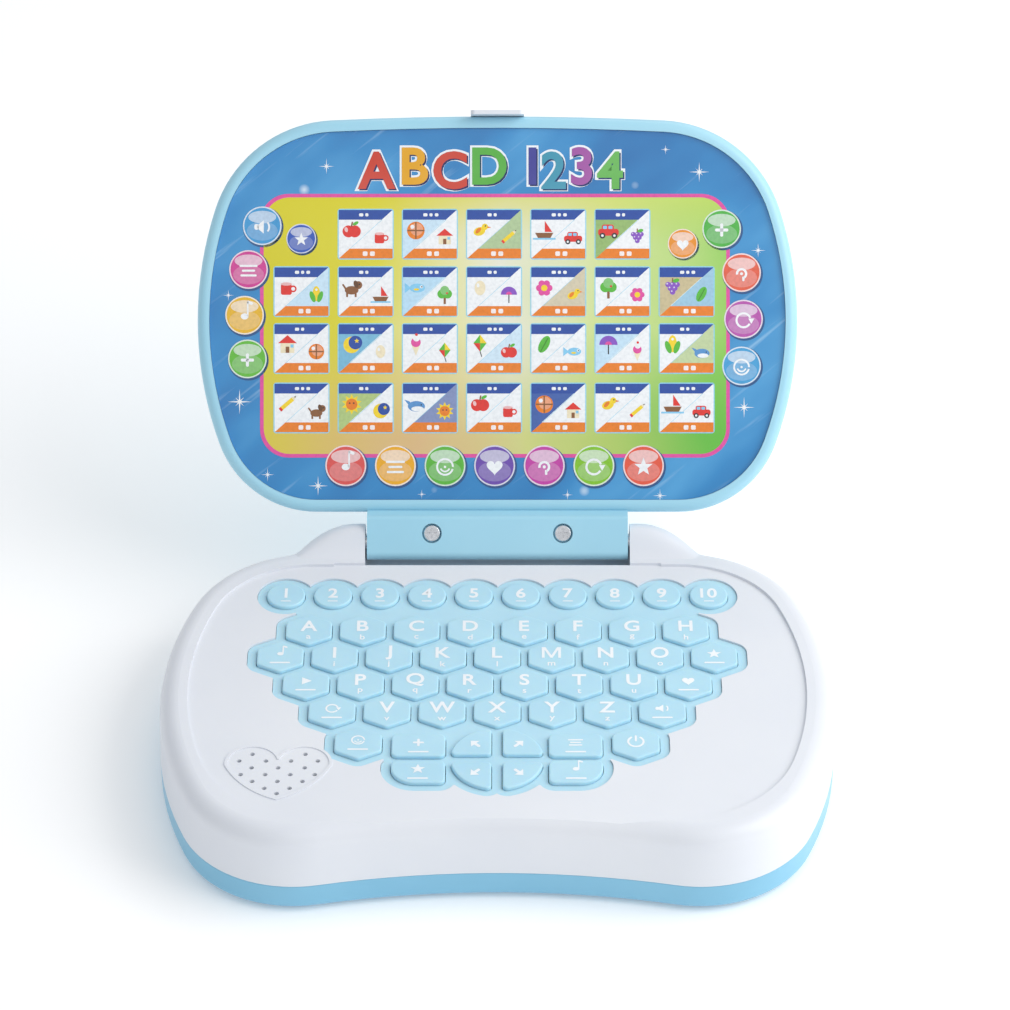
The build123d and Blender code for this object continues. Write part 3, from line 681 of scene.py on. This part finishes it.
# ---- text ---------------------------------------------------------------------------------------
def text_mesh(words, size, thickness, weight, placed):
    """A mesh of the built-in font's letters, centred, lying on the given surface."""
    curve = bpy.data.curves.new("letters", "FONT")
    curve.body = words
    curve.size = size
    curve.offset = weight
    curve.extrude = thickness / 2
    curve.align_x = "CENTER"
    curve.align_y = "CENTER"
    curve.resolution_u = 5
    holder = bpy.data.objects.new("letters", curve)
    SCENE.collection.objects.link(holder)
    bpy.context.view_layer.update()
    mesh = bpy.data.meshes.new_from_object(holder.evaluated_get(bpy.context.evaluated_depsgraph_get()))
    bpy.data.objects.remove(holder)
    low = [min(v.co[k] for v in mesh.vertices) for k in (0, 1)]
    high = [max(v.co[k] for v in mesh.vertices) for k in (0, 1)]
    for vertex in mesh.vertices:
        x = vertex.co.x - (low[0] + high[0]) / 2
        y = vertex.co.y - (low[1] + high[1]) / 2
        vertex.co = placed(x, y, vertex.co.z + thickness / 2)
    return mesh


def join_meshes(name, meshes, material):
    """One object from several meshes."""
    things = []
    for mesh in meshes:
        thing = bpy.data.objects.new(name, mesh)
        SCENE.collection.objects.link(thing)
        things.append(thing)
    whole = things[0]
    if len(things) > 1:
        with bpy.context.temp_override(active_object=whole, selected_editable_objects=things):
            bpy.ops.object.join()
    whole.name = name
    whole.data.name = name
    whole.data.materials.clear()
    whole.data.materials.append(material)
    return whole


def prism_mesh(outline, thickness, placed):
    count = len(outline)
    points = [placed(x, y, 0.0) for x, y in outline] + [placed(x, y, thickness) for x, y in outline]
    faces = [tuple(range(count, 2 * count)), tuple(reversed(range(count)))]
    faces += [(k, (k + 1) % count, count + (k + 1) % count, count + k) for k in range(count)]
    mesh = bpy.data.meshes.new("prism")
    mesh.from_pydata(points, [], faces)
    return mesh


# ---- key legends --------------------------------------------------------------------------------
INK_THICKNESS = 0.06 * MM
INK_SINK = 0.01 * MM  # how deep the ink's underside lies in the key
INK_STEP = 0.008 * MM  # how much higher each outline of a sign is than the one before
CAPITAL_SIZE, CAPITAL_Y, CAPITAL_WEIGHT = 8.0, 1.9, 0.16
SMALL_SIZE, SMALL_Y, SMALL_WEIGHT = 3.9, -4.3, 0.05
NUMBER_SIZE, NUMBER_Y = 7.2, 0.9


def key_middle(node):
    low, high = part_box(node)
    return (low[0] + high[0]) / 2, (low[1] + high[1]) / 2


def on_key(x, y):
    """Places millimetre points of a legend on a key's top."""
    return lambda a, b, n: Vector((x + a, y + b, KEY_TOP + n - INK_SINK))


def body_of_node(node):
    for body, nodes in frame["record"]["behaviour"]["bodies"].items():
        if node in nodes:
            return body
    raise ValueError(node)


def scaled(outline):
    return [(x * MM, y * MM) for x, y in outline]


def legend(node, name, meshes):
    piece = join_meshes(name, meshes, MATERIALS["ink"])
    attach(piece, body_of_node(node))


CAPITAL_M = [
    (-3.3, -2.9), (-2.35, -2.9), (-2.35, 1.5), (-0.4, -2.9), (0.4, -2.9), (2.35, 1.5), (2.35, -2.9),
    (3.3, -2.9), (3.3, 2.9), (2.0, 2.9), (0, -1.5), (-2.0, 2.9), (-3.3, 2.9),
]


def letter_legends():
    for letter in "abcdefghijklmnopqrstuvwxyz":
        node = f"letter_key_{letter}"
        x, y = key_middle(node)
        place = on_key(x, y + CAPITAL_Y * MM)
        if letter == "m":
            capital = prism_mesh(scaled(CAPITAL_M), INK_THICKNESS, place)
        else:
            capital = text_mesh(letter.upper(), CAPITAL_SIZE * MM, INK_THICKNESS, CAPITAL_WEIGHT * MM, place)
        place = on_key(x, y + SMALL_Y * MM)
        small = text_mesh(letter, SMALL_SIZE * MM, INK_THICKNESS, SMALL_WEIGHT * MM, place)
        legend(node, f"legend_{letter}", [capital, small])


def number_legends():
    for number in range(1, 11):
        node = f"number_key_{number}"
        x, y = key_middle(node)
        place = on_key(x, y + NUMBER_Y * MM)
        digits = text_mesh(str(number), NUMBER_SIZE * MM, INK_THICKNESS, CAPITAL_WEIGHT * MM, place)
        dash = prism_mesh(scaled(rounded(3.6, 0.45, 0.2, 3)), INK_THICKNESS, on_key(x, y - 3.6 * MM))
        legend(node, f"legend_{number}", [digits, dash])


# Generic signs for the keys that have no letter, each a list of outlines in millimetres.
def bar(width, height, x=0.0, y=0.0, turn=0.0):
    return moved(rounded(width, height, min(width, height) * 0.4, 3), x, y, turn)


def ring(radius, width, start, end, count=20):
    """An arc of a ring between two angles in degrees."""
    angles = [radians(start + (end - start) * k / count) for k in range(count + 1)]
    outer = [(radius * cos(a), radius * sin(a)) for a in angles]
    inner = [((radius - width) * cos(a), (radius - width) * sin(a)) for a in reversed(angles)]
    return outer + inner


def arrow(turn):
    tip = [(2.6, 0), (0.2, 2.2), (0.2, -2.2)]
    return [moved(tip, 0, 0, turn), moved(bar(2.6, 1.2, -0.9), 0, 0, turn)]


POWER_SIGN = [ring(3.3, 0.8, -240, 60), bar(0.8, 3.4, 0, 1.8)]
NOTE_SIGN = [disc(1.3, 18, 0.8), bar(0.55, 5.2, 1.05, 2.4), bar(2.0, 0.9, 1.8, 4.5, -0.4)]
STAR_SIGN = [star(3.0, 1.25, 5)]
PLAY_SIGN = [[(-1.6, 2.2), (-1.6, -2.2), (2.3, 0)]]
QUESTION_SIGN = [ring(1.9, 0.75, -60, 190), bar(0.75, 1.6, 0.6, -1.7, 0.0), disc(0.5, 12)]
HEART_SIGN = [heart(5.4)]
REPEAT_SIGN = [ring(2.7, 0.7, 20, 330), [(1.6, 0.6), (3.6, 0.6), (2.6, -1.2)]]
VOLUME_SIGN = [
    bar(1.5, 1.9, -1.9), [(-1.6, 0.5), (0.5, 2.2), (0.5, -2.2), (-1.6, -0.5)], ring(2.6, 0.6, -40, 40)
]
FACE_SIGN = [ring(2.8, 0.6, 0, 345), ring(1.7, 0.5, 200, 340), disc(0.4, 10)]
PLUS_SIGN = [bar(4.4, 1.0), bar(1.0, 4.4)]
LINES_SIGN = [bar(6.0, 0.7, 0, 1.6), bar(4.4, 0.7, 0, 0), bar(5.4, 0.7, 0, -1.6)]
FUNCTION_SIGNS = [
    NOTE_SIGN, STAR_SIGN, PLAY_SIGN, HEART_SIGN, REPEAT_SIGN, VOLUME_SIGN, FACE_SIGN, PLUS_SIGN, LINES_SIGN,
    STAR_SIGN, NOTE_SIGN,
]


# The middles of the keys without letters, in millimetres from the hinge axis, back to front, left to right.
FUNCTION_PLACES = (
    (-75.0, -63.1), (75.0, -63.1), (-65.6, -77.9), (65.6, -77.9), (-56.2, -92.7), (56.2, -92.7),
    (-46.9, -109.4), (-26.5, -110.7), (26.5, -110.7), (-26.5, -124.4), (26.5, -124.4),
)
DIRECTION_PLACES = (
    (-7.2, -110.3, 3 * pi / 4), (7.2, -110.3, pi / 4), (-7.2, -124.7, -3 * pi / 4), (7.2, -124.7, -pi / 4),
)


def sign_meshes(sign, x, y, scale=1.0):
    """Thin prisms of a sign, each a hair higher than the one before, so that no two share a face."""
    return [
        prism_mesh(scaled(moved(outline, 0, 0, 0, scale)), INK_THICKNESS + INK_STEP * k, on_key(x, y))
        for k, outline in enumerate(sign)
    ]


def function_legends():
    meshes = []
    for sign, (x, y) in zip(FUNCTION_SIGNS, FUNCTION_PLACES):
        meshes += sign_meshes(sign, x * MM, HINGE.y + (y + 1.2) * MM, 0.85)
        meshes += sign_meshes([bar(7.0, 0.7)], x * MM, HINGE.y + (y - 3.6) * MM)
    legend("function_keys", "legend_functions", meshes)
    x, y = key_middle("power_key")
    legend("power_key", "legend_power", sign_meshes(POWER_SIGN, x, y + 0.4 * MM, 0.9))
    meshes = []
    for x, y, turn in DIRECTION_PLACES:
        meshes += sign_meshes(arrow(turn), x * MM, HINGE.y + y * MM, 0.9)
    legend("direction_pad_keys", "legend_directions", meshes)


# ---- the picture panel's print ------------------------------------------------------------------
def bubble(page, x, y, radius, color, sign=(), level=0.0):
    """A glossy round button: a pale rim, a coloured disc, a light cap, a light foot and a white sign."""
    page.add(moved(disc(radius * 1.05, 40), x + 0.35, y - 0.45), (0.02, 0.09, 0.25), level, level + 0.03)
    page.add(moved(disc(radius, 40), x, y), lighter(color, 0.7), level, level + 0.05)
    page.add(moved(disc(radius * 0.93, 40), x, y), color, level, level + 0.065)
    page.add(
        moved(disc(radius * 0.8, 36, 0.62), x, y - radius * 0.27), lighter(color, 0.14), level, level + 0.075
    )
    page.add(
        moved(disc(radius * 0.72, 32, 0.45), x, y + radius * 0.45), lighter(color, 0.5), level, level + 0.085
    )
    for outline in sign:
        page.add(moved(outline, x, y - radius * 0.06, 0, radius * 0.155), WHITE, level, level + 0.1)


def picture(page, painter, x, y, scale, level):
    for depth, (outline, color) in enumerate(painter()):
        page.add(moved(outline, x, y, 0, scale), color, level, level + 0.012 + 0.004 * depth)


GROUNDS = {
    1: lighter(SKY, 0.5), 4: (0.32, 0.50, 0.16), 7: lighter(SKY, 0.35), 11: (0.62, 0.52, 0.30),
    13: (0.20, 0.50, 0.70), 17: lighter(SKY, 0.45), 20: (0.46, 0.60, 0.22), 23: (0.05, 0.12, 0.40),
}


def tile(page, number, x, y):
    """A card: a navy band above, an orange one below, a diagonal, and a picture on each side of it."""
    w, h, band = 10.0, 9.05, 3.5
    left, right, floor, roof = -w + 0.4, w - 0.4, -h + 0.4, h - 0.4
    lean = (right - left) / (roof - floor)  # how far the diagonal goes across for each step up
    low, high = floor + band, roof - band
    low_x, high_x = left + lean * band, right - lean * band
    page.add(moved(rounded(2 * w, 2 * h, 1.0), x, y), (0.30, 0.68, 0.86), 0.0, 0.10)
    page.add(moved(rounded(2 * w - 0.8, 2 * h - 0.8, 0.7), x, y), WHITE, 0.0, 0.115)
    if number in GROUNDS:
        page.add(moved([(left, floor), (high_x, high), (left, high)], x, y), GROUNDS[number], 0.0, 0.125)
    if number + 2 in GROUNDS:
        page.add(
            moved([(right, low), (right, roof), (low_x, low)], x, y), lighter(GROUNDS[number + 2], 0.2),
            0.0, 0.125,
        )
    page.add(moved([(left, high), (high_x, high), (right, roof), (left, roof)], x, y), NAVY, 0.0, 0.13)
    page.add(moved([(left, floor), (right, floor), (right, low), (low_x, low)], x, y), ORANGE, 0.0, 0.13)
    for edge in (-0.11, 0.11):
        line = [
            (low_x + edge - 0.1, low), (low_x + edge + 0.1, low), (high_x + edge + 0.1, high),
            (high_x + edge - 0.1, high),
        ]
        page.add(moved(line, x, y), (0.30, 0.68, 0.86) if edge > 0 else WHITE, 0.0, 0.135)
    for k, length in enumerate((1.5, 1.1, 1.3)[: 2 + number % 2]):
        page.add(moved(rounded(length, 1.1, 0.35, 3), x - 1.6 + 2.0 * k, y + h - 2.15), WHITE, 0.13, 0.14)
    for k in range(2):
        page.add(
            moved(rounded(1.7, 1.6, 0.4, 3), x - 0.2 + 2.6 * k, y - h + 2.1), lighter(ORANGE, 0.85), 0.13,
            0.14,
        )
    first = PICTURES[number % len(PICTURES)]
    second = PICTURES[(number * 7 + 5) % len(PICTURES)]
    picture(page, first, x - 5.0, y + 1.3, 1.02, 0.13)
    picture(page, second, x + 5.3, y - 1.1, 0.9, 0.13)


FIRST_CARD_X, CARD_PITCH = -69.9, 22.9
CARD_ROWS = (109.8, 89.3, 69.0, 47.8)


def tile_places():
    """The middles of the cards: five in the top row, seven in each row below it."""
    for row, y in enumerate(CARD_ROWS):
        for column in range(1, 6) if row == 0 else range(7):
            yield FIRST_CARD_X + CARD_PITCH * column, y


def word_on_panel(letters, x, y, size, weight, level):
    def placed(a, b, n):
        return on_panel(x + a / MM, y + b / MM, level + n / MM)

    return text_mesh(letters, size * MM, INK_THICKNESS, weight * MM, placed)


def on_lid(piece):
    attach(piece, "lid")


def lid_print():
    field = Print()
    field.add(moved(rounded(167.6, 94.1, 10.2, 12), -0.9, 77.15), PINK, 0.0, 0.05)
    on_lid(field.finish("card_border", MATERIALS["print"], on_panel))
    field = Print()
    field.add(moved(rounded(165.0, 91.5, 9.2, 12), -0.9, 77.15), YELLOW, 0.0, 0.08)
    on_lid(field.finish("card_field", MATERIALS["field"], on_panel))
    page = Print()
    for number, (x, y) in enumerate(tile_places()):
        tile(page, number, x, y)
    bubble(page, -70.0, 108.2, 5.3, (0.03, 0.10, 0.48), STAR_SIGN, 0.05)
    bubble(page, 66.1, 106.4, 5.3, (0.86, 0.30, 0.02), HEART_SIGN, 0.05)
    sides = (
        (-83.9, 112.8, (0.05, 0.33, 0.66), VOLUME_SIGN), (-88.8, 97.2, (0.66, 0.05, 0.30), LINES_SIGN),
        (-90.2, 80.9, (0.84, 0.48, 0.02), NOTE_SIGN), (-89.2, 65.3, (0.13, 0.50, 0.04), PLUS_SIGN),
        (80.0, 111.7, (0.08, 0.46, 0.06), PLUS_SIGN), (87.1, 96.1, (0.80, 0.12, 0.06), QUESTION_SIGN),
        (87.8, 79.5, (0.50, 0.09, 0.42), REPEAT_SIGN), (87.1, 62.8, (0.06, 0.36, 0.68), FACE_SIGN),
    )
    for x, y, color, sign in sides:
        bubble(page, x, y, 6.9, color, sign, 0.05)
    bottom = (
        ((0.76, 0.09, 0.08), NOTE_SIGN), ((0.88, 0.42, 0.01), LINES_SIGN), ((0.11, 0.48, 0.04), FACE_SIGN),
        ((0.16, 0.07, 0.42), HEART_SIGN), ((0.58, 0.05, 0.38), QUESTION_SIGN),
        ((0.24, 0.56, 0.02), REPEAT_SIGN), ((0.82, 0.10, 0.05), STAR_SIGN),
    )
    for k, (color, sign) in enumerate(bottom):
        bubble(page, -54.1 + 17.7 * k, 27.2, 7.3, color, sign, 0.09)
    sparkle_places = (
        (-64, 20, 3.6), (-92, 50, 4.4), (-82, 24, 2.4), (58, 16.5, 2.6), (88, 48, 3.8), (93, 104, 2.6),
        (-61, 134, 2.8), (72, 132, 3.6), (60, 140, 1.8), (-27, 17, 1.7), (25, 16.8, 2.0), (-96, 88, 2.0),
    )
    for x, y, size in sparkle_places:
        page.add(moved(star(size, size * 0.09, 4), x, y), WHITE, 0.0, 0.04)
        page.add(moved(star(size * 0.5, size * 0.07, 4, pi / 4), x, y), WHITE, 0.0, 0.045)
        page.add(moved(disc(size * 0.16, 16), x, y), WHITE, 0.0, 0.05)
    on_lid(page.finish("panel_pictures", MATERIALS["print"], on_panel))


TITLE = (
    ("A", (0.66, 0.05, 0.02)), ("B", (0.86, 0.42, 0.01)), ("C", (0.66, 0.05, 0.02)),
    ("D", (0.10, 0.46, 0.05)), (" ", NAVY), ("1", (0.05, 0.05, 0.32)), ("2", (0.04, 0.32, 0.46)),
    ("3", (0.36, 0.06, 0.36)), ("4", (0.10, 0.46, 0.05)),
)
TITLE_SIZE, RIM_WEIGHT, TITLE_WEIGHT = 18.0, 1.25, 0.5


def across(mesh):
    xs = [v.co.x for v in mesh.vertices]
    return max(xs) - min(xs)


def lid_title():
    """Fat coloured letters with a dark drop and a white rim, hopping along the top of the panel."""
    x = -51.0
    for k, (letter, color) in enumerate(TITLE):
        if letter == " ":
            x += 6.0
            continue
        width = across(word_on_panel(letter, 0, 0, TITLE_SIZE, RIM_WEIGHT, 0.0)) / MM
        x += width / 2
        y = 133.2 + (0.9 if k % 2 else -0.6)
        word = word_on_panel(letter, x, y, TITLE_SIZE, RIM_WEIGHT, 0.0)
        rim = join_meshes(f"title_{k + 1}_rim", [word], MATERIALS["ink"])
        word = word_on_panel(letter, x + 0.5, y - 0.5, TITLE_SIZE, TITLE_WEIGHT, 0.04)
        drop = join_meshes(f"title_{k + 1}_drop", [word], MATERIALS["drop"])
        paint = plastic(f"title_ink_{k + 1}", darker(color, 0.1), lighter(color, 0.08), 0.31)
        word = word_on_panel(letter, x, y, TITLE_SIZE, TITLE_WEIGHT, 0.08)
        middle = join_meshes(f"title_{k + 1}", [word], paint)
        for piece in (rim, drop, middle):
            on_lid(piece)
        x += width / 2 + 0.3


add_camera()
make_materials()
add_surroundings()
dress_nodes()
letter_legends()
number_legends()
function_legends()
lid_print()
lid_title()
